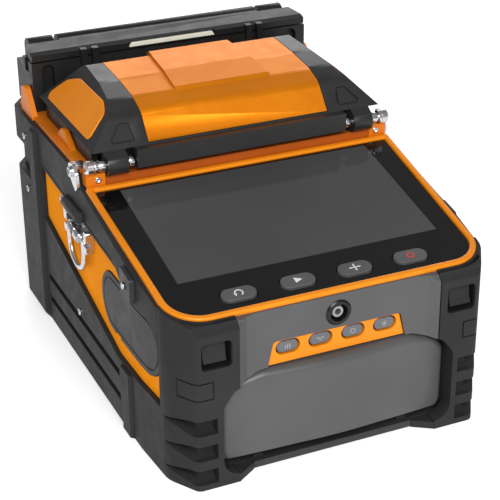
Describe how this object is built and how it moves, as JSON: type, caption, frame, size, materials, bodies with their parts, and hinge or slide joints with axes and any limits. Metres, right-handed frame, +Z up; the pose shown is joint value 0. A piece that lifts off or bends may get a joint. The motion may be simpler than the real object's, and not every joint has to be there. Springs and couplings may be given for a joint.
{
  "type": "fiber fusion splicer",
  "caption": "Rugged bench instrument with a sloping display, a hinged wind cover over the splice stage, a rear sleeve heater with a lid, corner guards and a slide-in battery.",
  "frame": {"origin": "centre of the bounding box's base, on the surface the instrument stands on", "axes": "+Z up; -Y towards the user, where the display and the battery face; +X to the user's right"},
  "size_m": [0.143, 0.194, 0.1202],
  "materials": {
    "armour": "matt dark grey armour",
    "orange_panel": "satin orange moulding",
    "orange_metal": "satin orange paint",
    "black_plastic": "fine matt black",
    "cover_black": "half-gloss black",
    "cover_glass": "tinted cover glass",
    "display": "dark display face",
    "menu_rubber": "matt mid grey",
    "meter_rubber": "matt blue grey",
    "flap_rubber": "matt grey",
    "chrome": "bright plated",
    "connector_metal": "satin steel",
    "machined": "fine machined",
    "black_anodised": "black anodised",
    "ceramic": "white ceramic",
    "tungsten": "ground",
    "diffuser": "pale translucent",
    "circuit_board": "green laminate"
  },
  "bodies": {
    "case": {"front_guard_left": "armour", "front_guard_right": "armour", "side_skirt_left": "armour", "side_skirt_right": "armour", "side_rail_left": "armour", "side_rail_right": "armour", "rear_guard_left": "armour", "rear_guard_right": "armour", "side_panel_left": "orange_panel", "side_panel_right": "orange_panel", "screen_bezel": "orange_panel", "keypad_strip": "orange_panel", "chassis_side_left": "orange_metal", "chassis_side_right": "orange_metal", "chassis_wall": "orange_metal", "base_tray": "black_plastic", "rear_panel": "black_plastic", "front_panel": "black_plastic", "screen_tray": "black_plastic", "wind_seals": "black_plastic", "socket_block": "black_plastic", "heater_base": "black_plastic", "side_lugs": "black_plastic", "lid_hinge_blocks": "black_plastic", "air_vent": "black_plastic", "screen_glass": "cover_glass", "lcd_module": "display", "hinge_pins": "chrome", "hinge_brackets": "chrome", "ring_brackets": "chrome", "case_screws": "chrome", "optical_port": "connector_metal", "stage_plate": "machined", "fibre_holders": "machined", "electrode_clamps": "machined", "heater_plate": "machined", "objectives": "black_anodised", "vgroove_block": "ceramic", "electrodes": "tungsten", "main_board": "circuit_board"},
    "wind_cover": {"wind_cover_frame": "cover_black", "wind_cover_panel": "orange_panel", "wind_cover_inlays": "orange_panel", "cover_mirror": "black_plastic"},
    "heater_lid": {"heater_lid": "cover_black", "light_strip": "diffuser"},
    "holder_lid_left": {"holder_lid_left": "machined"},
    "holder_lid_right": {"holder_lid_right": "machined"},
    "port_cover": {"port_cover": "flap_rubber"},
    "strap_ring_left": {"strap_ring_left": "chrome"},
    "strap_ring_right": {"strap_ring_right": "chrome"},
    "battery": {"battery_pack": "black_plastic"},
    "menu_key_return": {"menu_key_return": "menu_rubber"},
    "menu_key_run": {"menu_key_run": "menu_rubber"},
    "menu_key_axis": {"menu_key_axis": "menu_rubber"},
    "menu_key_power": {"menu_key_power": "menu_rubber"},
    "meter_key_unit": {"meter_key_unit": "meter_rubber"},
    "meter_key_wave": {"meter_key_wave": "meter_rubber"},
    "meter_key_zero": {"meter_key_zero": "meter_rubber"},
    "meter_key_light": {"meter_key_light": "meter_rubber"}
  },
  "joints": [
    {"name": "wind_cover_hinge", "type": "hinge", "parent": "case", "child": "wind_cover", "pos_m": [0, -0.006, 0.096], "axis": [1, 0, 0], "range_deg": [0, 95]},
    {"name": "heater_lid_hinge", "type": "hinge", "parent": "case", "child": "heater_lid", "pos_m": [0, 0.0866, 0.1156], "axis": [-1, 0, 0], "range_deg": [0, 100]},
    {"name": "holder_lid_left_hinge", "type": "hinge", "parent": "case", "child": "holder_lid_left", "pos_m": [-0.0385, 0.0424, 0.0996], "axis": [-1, 0, 0], "range_deg": [0, 100]},
    {"name": "holder_lid_right_hinge", "type": "hinge", "parent": "case", "child": "holder_lid_right", "pos_m": [0.0385, 0.0424, 0.0996], "axis": [-1, 0, 0], "range_deg": [0, 100]},
    {"name": "port_cover_hinge", "type": "hinge", "parent": "case", "child": "port_cover", "pos_m": [-0.0669, -0.05, 0.037], "axis": [0, -1, 0], "range_deg": [0, 110]},
    {"name": "strap_ring_left_swing", "type": "hinge", "parent": "case", "child": "strap_ring_left", "pos_m": [-0.0692, 0.0026, 0.0653], "axis": [0, 1, 0], "range_deg": [0, 150]},
    {"name": "strap_ring_right_swing", "type": "hinge", "parent": "case", "child": "strap_ring_right", "pos_m": [0.0692, 0.0026, 0.0653], "axis": [0, -1, 0], "range_deg": [0, 150]},
    {"name": "battery_slide", "type": "slide", "parent": "case", "child": "battery", "axis": [0, -1, 0], "range_m": [0, 0.07]},
    {"name": "menu_key_return_press", "type": "slide", "parent": "case", "child": "menu_key_return", "axis": [0, 0.2093, -0.9779], "range_m": [0, 0.0008], "stiffness_N_per_m": 500},
    {"name": "menu_key_run_press", "type": "slide", "parent": "case", "child": "menu_key_run", "axis": [0, 0.2093, -0.9779], "range_m": [0, 0.0008], "stiffness_N_per_m": 500},
    {"name": "menu_key_axis_press", "type": "slide", "parent": "case", "child": "menu_key_axis", "axis": [0, 0.2093, -0.9779], "range_m": [0, 0.0008], "stiffness_N_per_m": 500},
    {"name": "menu_key_power_press", "type": "slide", "parent": "case", "child": "menu_key_power", "axis": [0, 0.2093, -0.9779], "range_m": [0, 0.0008], "stiffness_N_per_m": 500},
    {"name": "meter_key_unit_press", "type": "slide", "parent": "case", "child": "meter_key_unit", "axis": [0, 1, 0], "range_m": [0, 0.0008], "stiffness_N_per_m": 500},
    {"name": "meter_key_wave_press", "type": "slide", "parent": "case", "child": "meter_key_wave", "axis": [0, 1, 0], "range_m": [0, 0.0008], "stiffness_N_per_m": 500},
    {"name": "meter_key_zero_press", "type": "slide", "parent": "case", "child": "meter_key_zero", "axis": [0, 1, 0], "range_m": [0, 0.0008], "stiffness_N_per_m": 500},
    {"name": "meter_key_light_press", "type": "slide", "parent": "case", "child": "meter_key_light", "axis": [0, 1, 0], "range_m": [0, 0.0008], "stiffness_N_per_m": 500}
  ],
  "couplings": [
    {"joint": "holder_lid_left_hinge", "follows": "wind_cover_hinge", "ratio": 1},
    {"joint": "holder_lid_right_hinge", "follows": "wind_cover_hinge", "ratio": 1}
  ]
}
